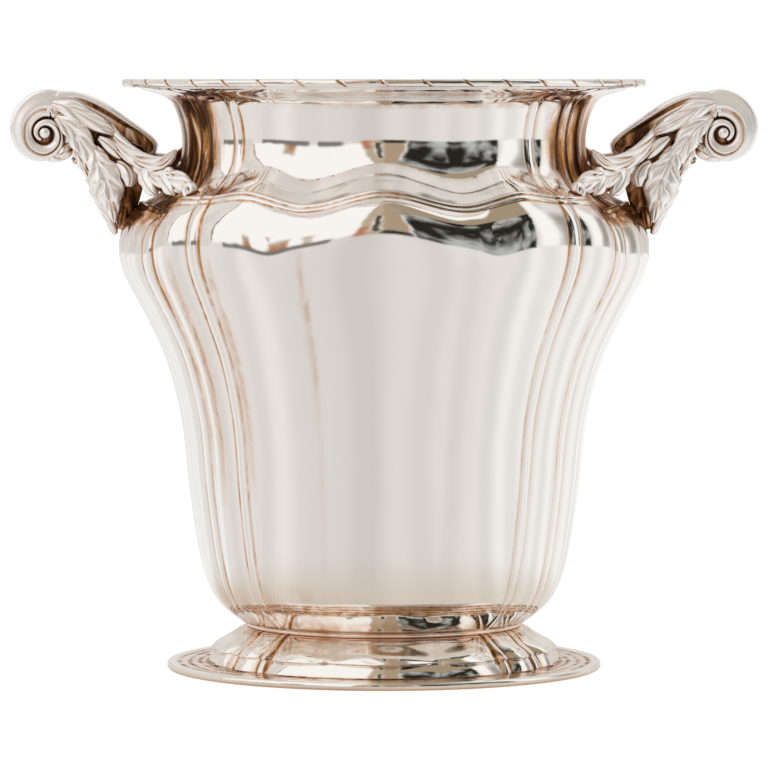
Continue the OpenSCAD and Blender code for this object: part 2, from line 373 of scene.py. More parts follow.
def patina_and_shade(obj, values):
    """Stores how much tarnish and painted shade the silver shows at each point, from 0 to 1."""
    layer = obj.data.attributes.new("patina_and_shade", "FLOAT", "POINT")
    layer.data.foreach_set("value", np.clip(values, 0, 1).astype(np.float32))


# ---- Silver ----

# Tarnish colours, which the silver also uses for painted shade and painted reflections.
TARNISH_AND_SHADE_WARM = (0.62, 0.29, 0.09, 1)
TARNISH_AND_SHADE_DARK = (0.085, 0.032, 0.009, 1)
TARNISH_DULLS = 0.3  # roughness that full tarnish adds
HOLLOW_REACH = 0.004  # metres within which a near wall makes a hollow
SCRATCH_DEPTH = 0.00002  # metres


def node(tree, kind, **settings):
    """New node with the given settings."""
    made = tree.nodes.new(kind)
    for key, value in settings.items():
        setattr(made, key, value)
    return made


def link(tree, a, b):
    """Joins an output to an input."""
    tree.links.new(a, b)


def set_inputs(made, **values):
    """Sets inputs of a node by name."""
    for key, value in values.items():
        made.inputs[key].default_value = value


def remap(tree, value, low, high, to_low, to_high, smooth=False):
    """Value carried from one range to another, and held at its ends."""
    ranged = node(tree, "ShaderNodeMapRange")
    ranged.interpolation_type = "SMOOTHSTEP" if smooth else "LINEAR"
    for key, number in (("From Min", low), ("From Max", high), ("To Min", to_low), ("To Max", to_high)):
        ranged.inputs[key].default_value = number
    link(tree, value, ranged.inputs["Value"])
    return ranged.outputs["Result"]


def math_node(tree, operation, a, b):
    """Sum, product or other result of two values, each an output or a number."""
    made = node(tree, "ShaderNodeMath", operation=operation)
    for socket, value in zip(made.inputs, (a, b)):
        if isinstance(value, (int, float)):
            socket.default_value = value
        else:
            link(tree, value, socket)
    return made.outputs[0]


def noise(tree, coordinates, scale, detail, rough, distortion=0.0):
    """Noise from 0 to 1."""
    made = node(tree, "ShaderNodeTexNoise")
    set_inputs(made, Scale=scale, Detail=detail, Roughness=rough, Distortion=distortion)
    link(tree, coordinates, made.inputs["Vector"])
    return made.outputs["Fac"]


def mixed(tree, factor, a, b):
    """Colour a where the factor is 0 and b where it is 1; each is an output or a colour."""
    made = node(tree, "ShaderNodeMix", data_type="RGBA")
    link(tree, factor, made.inputs["Factor"])
    for key, value in ((6, a), (7, b)):
        if isinstance(value, tuple):
            made.inputs[key].default_value = value
        else:
            link(tree, value, made.inputs[key])
    return made.outputs[2]


def stretched(tree, place, upright):
    """Coordinates with their height scaled, so that noise runs up and down or across."""
    made = node(tree, "ShaderNodeMapping")
    made.inputs["Scale"].default_value = (1.0, 1.0, upright)
    link(tree, place, made.inputs["Vector"])
    return made.outputs["Vector"]


def tarnish_and_shade(tree, place, cavity):
    """How much tarnish and painted shade shows: what is kept, in streaks as the cloth left it, and in
    hollows.
    """
    kept = node(tree, "ShaderNodeAttribute", attribute_name="patina_and_shade").outputs["Fac"]
    speckle = noise(tree, place, 900, 3, 0.6)
    streaks = noise(tree, stretched(tree, place, 0.22), 150, 5, 0.62, 0.9)
    amount = math_node(tree, "MULTIPLY", kept, remap(tree, streaks, 0.36, 0.64, 0.3, 1.6))
    if cavity:
        hollow = node(tree, "ShaderNodeAmbientOcclusion", samples=8)
        hollow.inputs["Distance"].default_value = HOLLOW_REACH
        depth = remap(tree, hollow.outputs["AO"], 0.22, 0.8, cavity, 0, smooth=True)
        amount = math_node(tree, "MAXIMUM", amount, depth)
    return math_node(tree, "MULTIPLY", amount, remap(tree, speckle, 0.35, 0.75, 0.85, 1.1))


def scratches(tree, place, strength):
    """Normal of a surface with fine wiping scratches."""
    bump = node(tree, "ShaderNodeBump")
    set_inputs(bump, Strength=strength, Distance=SCRATCH_DEPTH)
    link(tree, noise(tree, stretched(tree, place, 6.0), 1400, 2, 0.5), bump.inputs["Height"])
    return bump.outputs["Normal"]


def silver(name, base, dull, scratch, cavity=0.0, metal=1.0):
    """Polished silver: brown tarnish and painted shade where they are kept, uneven polish, wiping scratches.
    """
    material = bpy.data.materials.new(name)
    material.use_nodes = True
    tree = material.node_tree
    shader = tree.nodes["Principled BSDF"]
    shader.inputs["Metallic"].default_value = metal
    place = node(tree, "ShaderNodeTexCoord").outputs["Object"]
    cloud = noise(tree, place, 55, 5, 0.6)
    amount = tarnish_and_shade(tree, place, cavity)
    warm = mixed(tree, remap(tree, amount, 0, 0.55, 0, 1), base, TARNISH_AND_SHADE_WARM)
    colour = mixed(tree, remap(tree, amount, 0.5, 1, 0, 1), warm, TARNISH_AND_SHADE_DARK)
    link(tree, colour, shader.inputs["Base Color"])
    polish = remap(tree, cloud, 0.3, 0.75, dull * 0.6, dull * 1.5)
    dulled = remap(tree, amount, 0, 1, 0, TARNISH_DULLS)
    link(tree, math_node(tree, "ADD", polish, dulled), shader.inputs["Roughness"])
    link(tree, scratches(tree, place, scratch), shader.inputs["Normal"])
    return material


BOWL_SILVER = silver("bowl_silver", (0.96, 0.94, 0.915, 1), 0.055, 0.25)
RIM_SILVER = silver("rim_silver", (0.95, 0.925, 0.89, 1), 0.06, 0.3, 0.6)
FOOT_SILVER = silver("foot_silver", (0.95, 0.93, 0.89, 1), 0.04, 0.35, 0.42)
HANDLE_SILVER = silver("handle_silver", (0.97, 0.955, 0.935, 1), 0.2, 0.8, 1.0, 0.62)


# ---- Bowl ----

# Two reeds run along the crest
REED_GAP = 1.35
REED_HALF = 1.15
REED_H = 0.6
REED_EDGE = 2.75
ROW_LEAST = 0.27
ROW_MOST = 2.1
INNER_STEP = 3.2
UNDER_RADII = (8, 24, 40, 50)
HAMMERING = 0.05  # depth of the sheet's unevenness
# Shallow valleys in the shoulder, between the front panel and the folds beside it
VALLEY_DEPTH = 1.9
VALLEY_ANGLE = 25
VALLEY_HALF = 4.4
VALLEY_ABOVE = 9
VALLEY_REACH = 14
# Tarnish and painted shade run from 0 to 1. The left half gets more of it than the right, as painted shade.
CREASE_STAIN = 0.36
CREASE_SHADE_LEFT = 0.3
CREASE_LINE_W = 0.42
SOFT_CREASE = 18.2
# Painted reflection streaks beside the creases: angle, strength, width in degrees
REFLECTION_STREAKS = [(41.4, 0.3, 1.3), (53, 0.42, 1.1), (58.6, 0.4, 1.3)]
REED_STAIN = 0.5
REED_LINE_W = 0.4
# Tarnish with painted shade round the handles' feet
HANDLE_FOOT_STAIN_AND_SHADE = 0.75
HANDLE_FOOT_W = 9
# Height of the painted shadow under the rim
UNDER_RIM_SHADOW_Z = 220.5


def bowl_profile():
    """Outer wall from the collar to the lip, with the two reeds of the crest."""
    below = eased(at_even_steps(spline(BOWL, 24), 0.25), 12)
    above = eased(at_even_steps(spline(NECK, 24), 0.25), 8)
    wall = np.vstack([below, above])
    crest_at = arc_length(below)[-1] + 0.5 * np.linalg.norm(above[0, :2] - below[-1, :2])
    where = row_lengths(arc_length(wall)[-1], crest_at)
    wall = at_lengths(wall, where)
    normal = profile_normals(wall)
    raised = hump((where - crest_at - REED_GAP) / REED_HALF) + hump((where - crest_at + REED_GAP) / REED_HALF)
    wall[:, :2] += normal * (REED_H * raised)[:, None]
    return wall, where - crest_at


def row_lengths(total, crest_at):
    """Distances up the wall for its rows of points, closest at the reeds and at the lip."""
    wanted = [0.0]
    while wanted[-1] < total - 0.4:
        near_crest = 0.06 * abs(wanted[-1] - crest_at)
        near_lip = 0.1 + 0.1 * (total - wanted[-1])
        wanted.append(wanted[-1] + float(np.clip(min(near_crest, near_lip), ROW_LEAST, ROW_MOST)))
    return np.array(wanted[:-1] + [total])


def at_even_steps(curve, step):
    """Curve as points at equal distances, as near to the step as fits."""
    length = arc_length(curve)[-1]
    return at_lengths(curve, np.linspace(0, length, int(length / step) + 1))


def profile_normals(curve):
    """Outward direction of an upward-running profile at each of its points."""
    run = unit_rows(np.gradient(curve[:, :2], axis=0))
    return np.stack([run[:, 1], -run[:, 0]], axis=1)


def inner_profile():
    """Inner wall from the lip down to the floor of the bowl."""
    wall = np.vstack([spline(BOWL, 12), spline(NECK, 12)])
    wall = eased(at_even_steps(wall, 0.5), 8)
    wall[:, :2] -= profile_normals(wall) * SHEET_T
    wall = at_even_steps(wall, INNER_STEP)[::-1]
    wall[0, 1] = LIP_TOP
    wall[0, 3:] = 0
    floor_z = BOWL_BOTTOM + SHEET_T
    floor = [(r, floor_z, 0, 0, 0) for r in np.linspace(WAIST_R - 5, 6, 8)]
    return np.vstack([wall[:-1], floor])


def hammered(points):
    """Very slight unevenness of sheet raised by hand, as a share of 1."""
    x, y, z = points[..., 0], points[..., 1], points[..., 2]
    turn = np.arctan2(x, -y)
    first = np.sin(7 * turn + 0.05 * z + 1.3) * np.sin(0.11 * z + 2 * turn)
    second = np.sin(13 * turn - 0.09 * z) * np.sin(0.19 * z + 0.7 - 3 * turn)
    return 0.6 * first + 0.4 * second


def valleys(z, around):
    """Depth of the shoulder's valleys, by height and angle."""
    by_height = band(z - SHOULDER_H, VALLEY_ABOVE, VALLEY_REACH)
    return VALLEY_DEPTH * by_height[:, None] * band(folded(around), VALLEY_ANGLE, VALLEY_HALF)[None, :]


def bowl_shape():
    """The bowl's wall, inside and out, as points and faces, with its tarnish and painted shade."""
    around = columns()
    outer, from_crest = bowl_profile()
    inner = inner_profile()
    under = np.array([(r, BOWL_BOTTOM, 0, 0, 0) for r in UNDER_RADII], float)
    rows = np.vstack([under, outer, inner])
    points = on_lobes(rows, around)
    first = len(under)
    wall = points[first:first + len(outer)]
    swell = HAMMERING * smoothstep(3, 12, np.abs(from_crest))[:, None] * hammered(wall)
    push_out(wall, swell - valleys(outer[:, 1], around))
    return loft(points), bowl_stain_and_shade(rows, around, first, from_crest)


def crease_stain_and_shade(q, left, z):
    """Brown tarnish lines in the crisp creases, darker on the left as painted shade, greyer streaks beside
    them on the left as painted reflections, and a painted dark streak along the left soft crease.
    """
    stain_and_shade = np.zeros((len(z), len(q)))
    for angle in CRISP_CREASES:
        # Brown tarnish in the crease lines, with painted shade added on the left half.
        line = (CREASE_STAIN + CREASE_SHADE_LEFT * left) * band(q, angle, CREASE_LINE_W)
        stain_and_shade = np.maximum(stain_and_shade, line[None, :] + 0 * z)
    stain_and_shade *= 1 - 0.45 * smoothstep(150, 130, z)
    belly = smoothstep(60, 100, z) * smoothstep(166, 150, z)
    # Painted reflection streaks beside the creases, on the left half only.
    painted_streaks = sum(strength * band(q, angle, width) for angle, strength, width in REFLECTION_STREAKS)
    stain_and_shade += belly * (left * painted_streaks)[None, :]
    # Painted dark reflection streak along the soft crease, on the left half only.
    soft = smoothstep(30, 60, z) * smoothstep(170, 155, z) * (0.3 + 0.7 * smoothstep(100, 135, z))
    stain_and_shade += soft * (0.22 * left * band(q, SOFT_CREASE, 0.8))[None, :]
    return stain_and_shade


def bowl_stain_and_shade(rows, around, first, from_crest):
    """Tarnish in the creases and beside the reeds; tarnish with painted shade at the neck's sides and round
    the handles' feet; painted reflections on the left and a painted shadow under the rim.
    """
    q = folded(around)
    # The left half gets the painted shade and the painted reflections.
    left = (np.sin(np.radians(around)) < 0).astype(float)
    outer = slice(first, first + len(from_crest))
    z = rows[outer, 1][:, None]
    reeds = band(np.abs(from_crest), 0, REED_LINE_W) + band(np.abs(from_crest), REED_EDGE, REED_LINE_W)
    # Tarnish with painted shade at the neck's sides under the handles, more on the left half.
    neck = smoothstep(1, 5, from_crest)[:, None] * smoothstep(226, 221, z)
    sides = smoothstep(50, 56, q) * (0.5 + 0.32 * left)
    # Tarnish with painted shade round the handles' feet, under the handles.
    feet = smoothstep(50, 58, q)[None, :] * band(np.abs(from_crest), 0, HANDLE_FOOT_W)[:, None]
    uneven = 0.2 + 0.2 * np.sin(np.radians(3 * around + 40))
    layers = (
        REED_STAIN * reeds[:, None],
        neck * sides[None, :],
        HANDLE_FOOT_STAIN_AND_SHADE * feet,
        # Faint darkening low on the bowl all round, and a painted warm reflection of the foot low on the left
        # half.
        smoothstep(40, 28, z) * (0.02 + 0.14 * left * smoothstep(8, 30, q))[None, :],
        # Painted shadow in an uneven band just under the rim.
        band(z, UNDER_RIM_SHADOW_Z, 0.7) * uneven[None, :],
    )
    stain_and_shade = np.zeros((len(rows), len(around)))
    stain_and_shade[outer] = crease_stain_and_shade(q, left, z)
    for layer in layers:
        stain_and_shade[outer] = np.maximum(stain_and_shade[outer], layer)
    return np.concatenate([stain_and_shade.ravel(), [0, 0]])


def build_bowl():
    """The raised bowl, in one sheet."""
    shape, stain_and_shade = bowl_shape()
    bowl = piece("bowl", shape, BOWL_SILVER, "bowl_silver", "body_shell")
    patina_and_shade(bowl, stain_and_shade)


build_bowl()


# ---- Rim ----

TIES = 40
TIE_SLANT = -1.3
TIE_HALF = 0.24
TIE_DEPTH = 0.38
BORDER_SINK = 0.05
BORDER_STEP = 0.3
BORDER_ROUND = 1.25
FLANGE_IN = 12  # from the rim's edge to the flange's inner edge
FLANGE_ROUND = 0.5
TUCK = 0.4  # how far one piece reaches under its neighbour
LOOP_STEP = 0.35
CORNER_STEPS = 6


def revolved(section):
    """Plain ring of the closed section (radius, height pairs)."""
    rows = np.array(section, float)
    return ring_points(rows[:, 0:1] + 0 * RING_ANGLES, rows[:, 1:2], RING_ANGLES)


def rounded_section(r_in, r_out, low, high, round_r):
    """Closed rectangle with rounded corners, as radius and height pairs."""
    section = []
    corners = ((r_out, low, -90), (r_out, high, 0), (r_in, high, 90), (r_in, low, 180))
    for r, z, start in corners:
        cr = r - round_r if r == r_out else r + round_r
        cz = z + round_r if z == low else z - round_r
        for a in np.radians(np.linspace(start, start + 90, CORNER_STEPS)):
            section.append((cr + round_r * math.cos(a), cz + round_r * math.sin(a)))
    return dense_loop(section)


def dense_loop(section):
    """Closed loop with points added so that none are further apart than LOOP_STEP."""
    out = []
    for a, b in zip(section, section[1:] + section[:1]):
        count = max(1, int(math.ceil(math.dist(a, b) / LOOP_STEP)))
        for k in range(count):
            t = k / count
            out.append((a[0] + (b[0] - a[0]) * t, a[1] + (b[1] - a[1]) * t))
    return out


def border_shape():
    """Rounded moulding with slanted ties across it, all the way round."""
    around = np.arange(0, 360, BORDER_STEP)
    section = np.array(rounded_section(RIM_R - RIM_BORDER_W, RIM_R, RIM_BORDER_Z, TOTAL_H, BORDER_ROUND))
    away = unit_rows(section - section.mean(0))
    turn = np.unwrap(np.arctan2(away[:, 1], away[:, 0]))
    shift = TIE_SLANT * np.sin(turn)
    period = 360 / TIES
    phase = (around[None, :] - shift[:, None] + period / 2) % period - period / 2
    cut = band(phase, 0, TIE_HALF)
    lift = -TIE_DEPTH * cut - BORDER_SINK + BORDER_SINK * band(np.abs(phase), 0.8, 0.4)
    r = section[:, 0:1] + away[:, 0:1] * lift
    z = section[:, 1:2] + away[:, 1:2] * lift
    return torus(ring_points(r, z, around)), cut


def build_rim():
    """The moulding round the rim, and the flat flange inside it."""
    shape, stain_and_shade = border_shape()
    border = piece("rim_moulding", shape, RIM_SILVER, "rim_silver", "rim_border")
    patina_and_shade(border, stain_and_shade.ravel())
    outer = RIM_R - RIM_BORDER_W + TUCK
    section = rounded_section(RIM_R - FLANGE_IN, outer, LIP_TOP, LIP_TOP + SHEET_T, FLANGE_ROUND)
    flange = piece("rim_plate", torus(revolved(section)), RIM_SILVER, "rim_silver", "rim_flange")
    patina_and_shade(flange, np.zeros(len(flange.data.vertices)))


build_rim()


# ---- Foot ----

COLLAR_W = 6
COLLAR_ROUND = 0.85
COLLAR_STAIN = 0.15
DOME_CREASE_STAIN = 0.75
DOME_CREASE_W = 0.8
DOME_TOP_STAIN = 0.22
PETAL_SWELL = 1.9
PETAL_TOP = 13.4
PETAL_ARCH = 3.6
PETAL_RAMP = 4.5  # height over which a petal's face leaves the plate
DENTS = 1.3
PLATE_IN = 4  # how far the plate reaches in under the dome
GROOVES = (DOME_R + 0.5, DOME_R + 3.4, DOME_R + 7.4, PLATE_R - 0.9)
GROOVE_W = 0.9
GROOVE_DEPTH = 0.1
WIRE_ROUND = 1.2


def build_collar():
    """The thin ring between bowl and foot."""
    section = rounded_section(WAIST_R - COLLAR_W, COLLAR_R, DOME_TOP, BOWL_BOTTOM, COLLAR_ROUND)
    collar = piece("foot_ring", torus(revolved(section)), FOOT_SILVER, "foot_silver", "foot_collar")
    patina_and_shade(collar, np.full(len(collar.data.vertices), COLLAR_STAIN))


def build_dome():
    """The lobed dome of the foot, one sheet thick."""
    around = columns()
    outside = eased(at_even_steps(spline(DOME, 16), 0.2), 4)
    inside = outside.copy()
    inside[:, :2] += profile_normals(outside) * SHEET_T  # the profile runs down, so this is inwards
    inside[-1, 1] = PLATE_TOP
    rows = np.vstack([at_even_steps(outside, 0.5), at_even_steps(inside, 0.9)[::-1]])
    points = on_lobes(rows, around)
    swelled = len(rows) // 2  # these rows end part way down the outside, about 8 mm above the table
    swell_petals(points[:swelled], around)
    q = folded(around)
    crease = np.max([band(q, angle, DOME_CREASE_W) for angle in CRISP_CREASES], axis=0)
    dome = piece("foot_petals", torus(points), FOOT_SILVER, "foot_silver", "foot_dome")
    top = smoothstep(12, 16, rows[:, 1:2])
    patina_and_shade(dome, (DOME_CREASE_STAIN * crease[None, :] + DOME_TOP_STAIN * top).ravel())


def swell_petals(points, around):
    """Raises the face of each petal of the foot, under an arched upper edge, and dents it a little."""
    depth = from_table(RELIEF, around)[None, :]
    z = points[..., 2]
    edge = PETAL_TOP - PETAL_ARCH * depth
    off_plate = smoothstep(PLATE_TOP, PLATE_TOP + PETAL_RAMP, z)
    raised = smoothstep(1.2, -3.2, z - edge) * off_plate
    turn = np.radians(around)[None, :]
    slack = 0.34 * np.sin(9 * turn + 0.6 + 0.1 * z) + 0.26 * np.sin(16 * turn + 2.1 - 0.25 * z)
    dents = DENTS * slack * off_plate * smoothstep(17, 12, z)
    push_out(points, PETAL_SWELL * raised * np.clip(1.1 - depth, 0, 1) + dents)


def build_base():
    """The flat base with its turned grooves, and the round wire that edges it."""
    top = np.arange(DOME_R - PLATE_IN, PLATE_R + TUCK, 0.25)
    cut = sum(band(top, line, GROOVE_W) for line in GROOVES)
    under = np.arange(PLATE_R + TUCK, DOME_R - PLATE_IN, -2.0)
    section = list(zip(top, PLATE_TOP - GROOVE_DEPTH * cut)) + [(r, PLATE_BOTTOM) for r in under]
    plate = piece("base_disc", torus(revolved(section)), FOOT_SILVER, "foot_silver", "base_plate")
    stain_and_shade = np.concatenate([0.2 + 0.6 * np.clip(cut, 0, 1), 0.1 + 0 * under])
    patina_and_shade(plate, np.repeat(stain_and_shade, len(RING_ANGLES)))
    section = rounded_section(PLATE_R, BASE_R, 0, BASE_WIRE_H, WIRE_ROUND)
    wire = piece("base_wire", torus(revolved(section)), FOOT_SILVER, "foot_silver", "base_edge_wire")
    patina_and_shade(wire, np.zeros(len(wire.data.vertices)))


build_collar()
build_dome()
build_base()


# ---- Handles ----

EYE_X = 131.8
EYE_Z = 209.1
STRAP_W = 8.5
# Coil of the volute: turns from its top, radius of its centre line, half thickness
COIL = [
    (-0.06, 11.6, 5.4), (0, 11.5, 5.4), (0.12, 10.2, 4.9), (0.25, 9.1, 4.3), (0.5, 7.7, 3.2),
    (0.75, 5.4, 1.9), (1, 4.0, 1.3), (1.25, 3.3, 0.95), (1.42, 2.9, 0.6),
]
# Arm from the crest to the volute: x, z, half thickness
ARM = [
    (92.5, 201.6, 2.2), (90.6, 204, 2.4), (94.5, 207, 3), (101, 210.2, 4.2),
    (107.5, 213.4, 5.4), (114, 216.8, 5.8), (121, 219.8, 5.3),
]
STRAP_ROUND = 1.3
SLIT_DEPTH = 2.0
GROOVE_SINK = 0.9
FLUTE_DEPTH = 0.35
WEB_R = 7.4
WEB_HALF = 5.9
BUTTON_R = 2.1
BUTTON_H = 1.6
LEAF_TOP_POINTS = 25
LEAF_BACK_POINTS = 7
# Darkening of the leaves' backs, which face the body: tarnish and painted shade.
BACK_STAIN_AND_SHADE = 0.85
FRONT = (0, -1, 0)


def scroll_line():
    """Centre line of the scroll (x, z), its half thickness and the turn of the volute."""
    line = [(x, z, h, -1 + k / len(ARM)) for k, (x, z, h) in enumerate(ARM)]
    for t, r, h in spline(COIL, 5):
        a = math.radians(90 - 360 * t)
        line.append((EYE_X + r * math.cos(a), EYE_Z + r * math.sin(a), h, t))
    return spline(line, 4)


def scroll_shape():
    """The strap of the arm, rolled up at its end into the volute."""
    line = scroll_line()
    run = unit_rows(np.gradient(line[:, :2], axis=0))
    out = np.stack([-run[:, 1], run[:, 0]], axis=1)
    turn, half = line[:, 3], line[:, 2]
    wide = STRAP_W + 0.9 * smoothstep(0.55, 0.95, turn) - 1.5 * smoothstep(-0.6, -1, turn)
    rings, stains_and_shade = [], []
    for k in range(len(line)):
        section, stain_and_shade = strap_section(wide[k], half[k], turn[k])
        x = line[k, 0] + out[k, 0] * section[:, 1]
        z = line[k, 1] + out[k, 1] * section[:, 1]
        rings.append(np.stack([x, section[:, 0], z], axis=1))
        stains_and_shade.append(stain_and_shade)
    return stained_and_shaded(loft(rings), np.concatenate(stains_and_shade + [[0, 0]]))


def strap_outline(wide, half):
    """Closed section of the plain strap: across (y) and through its thickness (n)."""
    corner = min(STRAP_ROUND, 0.55 * half)
    arc = np.radians(np.linspace(0, 90, 5))
    side = np.linspace(-1, 1, 30)[1:-1] * (half - corner)
    face = np.linspace(1, -1, 18)[1:-1] * (wide - corner)
    right_top = np.stack([wide - corner + corner * np.cos(arc), half - corner + corner * np.sin(arc)], 1)
    top = np.stack([face, np.full_like(face, half)], 1)
    left_top = np.stack([-right_top[::-1, 0], right_top[::-1, 1]], 1)
    left = np.stack([np.full_like(side, -wide), side[::-1]], 1)
    left_low = -right_top
    low = np.stack([-face, np.full_like(face, -half)], 1)
    right_low = np.stack([right_top[::-1, 0], -right_top[::-1, 1]], 1)
    right = np.stack([np.full_like(side, wide), side], 1)
    return np.vstack([right_top, top, left_top, left, left_low, low, right_low, right])


def strap_section(wide, half, turn):
    """Section of the strap with its slit, groove, rolled crown and flutes, and its tarnish and painted shade.
    """
    loop = strap_outline(wide, half)
    v = loop[:, 1] / half
    on_side = smoothstep(0.75, 0.97, np.abs(loop[:, 0]) / wide)
    slit = band(v, 0.52, 0.13) * smoothstep(-0.85, -0.6, turn) * smoothstep(-0.1, -0.3, turn)
    line_at = np.interp(turn, (0, 0.25, 0.5, 0.8), (-0.45, -0.3, 0.25, 0.3))
    groove = band(v, line_at, 0.11) * smoothstep(-0.12, 0.0, turn) * smoothstep(0.95, 0.7, turn)
    crown = 0.9 * (1 - hump(0.95 * v)) * smoothstep(0.6, 1.0, turn)
    swell = 0.5 * (1 - band(v, -0.1, 0.55)) * smoothstep(-0.3, 0.1, turn) * smoothstep(0.95, 0.7, turn)
    sunk = SLIT_DEPTH * slit + GROOVE_SINK * groove + crown + swell
    loop[:, 0] -= np.sign(loop[:, 0]) * on_side * sunk
    level = np.abs(loop[:, 0]) / wide
    flute = FLUTE_DEPTH * (1 - np.abs(np.sin(1.5 * np.pi * level))) * smoothstep(0.9, 0.7, level)
    loop[:, 1] -= np.sign(loop[:, 1]) * flute * smoothstep(0.8, 1, np.abs(v)) * smoothstep(1.0, 2.0, half)
    # Inner edge of the coils and lower side of the arm: tarnish with painted shade, where the recesses show
    # dark.
    inner_edge = band(v, -1, 0.12) * smoothstep(0, 0.5, turn)
    arm = smoothstep(0.62, 0.4, v) * smoothstep(-0.42, -0.56, turn)
    stain_and_shade = on_side * (0.85 * slit + 0.5 * groove + 0.7 * inner_edge + 0.8 * arm)
    return loop, stain_and_shade


def stained_and_shaded(shape, values):
    """Shape with its tarnish and painted shade: one value for all of it, or one for each point."""
    points, faces = shape
    return points, faces, np.zeros(len(points)) + values


def about_eye(section, sides, stain_and_shade):
    """Solid of (radius, y) pairs turned about the eye of the volute."""
    a = np.linspace(0, 2 * np.pi, sides, endpoint=False)
    rings = [np.stack([EYE_X + r * np.cos(a), y + 0 * a, EYE_Z + r * np.sin(a)], 1) for r, y in section]
    return stained_and_shaded(loft(rings), stain_and_shade)


def button():
    """Domed boss on both sides of the volute."""
    dome = [(BUTTON_R * hump(0.98 * t), STRAP_W + BUTTON_H * t) for t in np.linspace(0, 1, 9)]
    return about_eye([(r, -y) for r, y in dome[::-1]] + dome, 32, 0)


def coil_web():
    """Dark disc of painted shade that closes the coils of the volute."""
    section = [(0.2, -WEB_HALF), (WEB_R, -WEB_HALF), (WEB_R, WEB_HALF), (0.2, WEB_HALF)]
    return about_eye(section, 48, 0.9)


def petal_frame(spine, facing, steps):
    """Centre points, half widths, sideways and upward directions, and how far along, from 0 to 1."""
    line = spline(spine, steps)
    place, half = line[:, :3], np.maximum(line[:, 3], 0.05)
    run = unit_rows(np.gradient(place, axis=0))
    side = unit_rows(np.cross(run, np.tile(np.array(facing, float), (len(line), 1))))
    length = arc_length(place, 3)
    return place, half, side, np.cross(side, run), length / length[-1]


def petal(spine, facing, thick=1.6, ribs=0, sweep=0.8, cup=0.0, lobes=0, notch=0.25, steps=10, base=0.8,
          painted_shade=0.0):
    """Cast leaf lobe along a spine of (x, y, z, half width), its face turned to facing.

    Ribs cross it in forward-swept pairs, lobes scallop its edge, and cup lifts the edges."""
    place, half, side, up, along = petal_frame(spine, facing, steps)
    ends = hump(2 * along - 1) ** 0.5
    back = np.linspace(1, -1, LEAF_BACK_POINTS + 2)[1:-1]
    u = np.concatenate([np.linspace(-1, 1, LEAF_TOP_POINTS), back])
    on_top = np.arange(len(u)) < LEAF_TOP_POINTS
    vein = band(u, 0, 0.1)
    rings, stains_and_shade = [], []
    for k in range(len(along)):
        scallop = 1 - notch * (1 - np.abs(np.sin(np.pi * lobes * along[k]))) if lobes else 1
        wide = half[k] * scallop
        phase = ribs * (along[k] + sweep * 0.25 * (1 - np.abs(u)) - 0.15)
        rib = (0.5 + 0.5 * np.cos(2 * np.pi * phase)) ** 3 * np.minimum(1, 3 * np.abs(u)) if ribs else 0 * u
        body = hump(0.999 * u) * thick * ends[k] * (1 - 0.45 * rib) * (1 - 0.3 * vein)
        lift = np.where(on_top, body, -base * hump(u) * ends[k])
        bend = cup * (u ** 2 - 0.3) * wide
        rings.append(place[k] + side[k] * (u * wide)[:, None] + up[k] * (lift + bend)[:, None])
        # The last argument darkens a whole face as painted shade; ribs and veins add tarnish.
        stains_and_shade.append(np.where(on_top, painted_shade + 0.14 * rib + 0.16 * vein * ends[k], BACK_STAIN_AND_SHADE))
    return stained_and_shaded(loft(rings), np.concatenate(stains_and_shade + [[0.4, 0.4]]))


def curl(centre, radius, axis, start, turns, tube):
    """Small rolled end: a tapering bead that winds in round an axis."""
    axis = np.array(axis, float) / np.linalg.norm(axis)
    first = np.cross(axis, (0, 0, 1))
    first /= np.linalg.norm(first)
    second = np.cross(axis, first)
    loop = np.linspace(0, 2 * np.pi, 16, endpoint=False)
    rings = []
    for t in np.linspace(0, 1, 40):
        angle = math.radians(start) + 2 * math.pi * turns * t
        r = radius * (1 - 0.75 * t)
        out = math.cos(angle) * first + math.sin(angle) * second
        middle = np.array(centre) + r * out + axis * 0.8 * t
        bead = tube * (1 - 0.45 * t) * max(0.15, hump(2 * max(t, 0.5) - 1))
        rings.append(middle + bead * (np.cos(loop)[:, None] * out + 1.5 * np.sin(loop)[:, None] * axis))
    return stained_and_shaded(loft(rings), 0)


def scroll_parts():
    """The strap with its volute, the web under the arm's lower end as a dark sheet of painted shade, and the
    lips under the volute.
    """
    # Dark sheet of painted shade that fills the gap under the arm.
    web = petal(
        [(89.6, 0, 202.4, 1.6), (95, 0, 203.6, 3.4), (101, 0, 205.4, 4.6), (107, 0, 208, 4)],
        FRONT, 3.2, ribs=5, base=3.2, painted_shade=0.8)
    lip = petal(
        [(131.5, -5.2, 199.9, 1.6), (127.6, -5.6, 200.1, 2.4), (124, -6, 201.8, 2.4), (122, -6.2, 204.6, 1.6),
         (121.4, -6.2, 207, 0.4)],
        FRONT, 2.6, ribs=3, base=2.4)
    return [scroll_shape(), coil_web(), button(), web, lip, mirrored(lip, 1)]


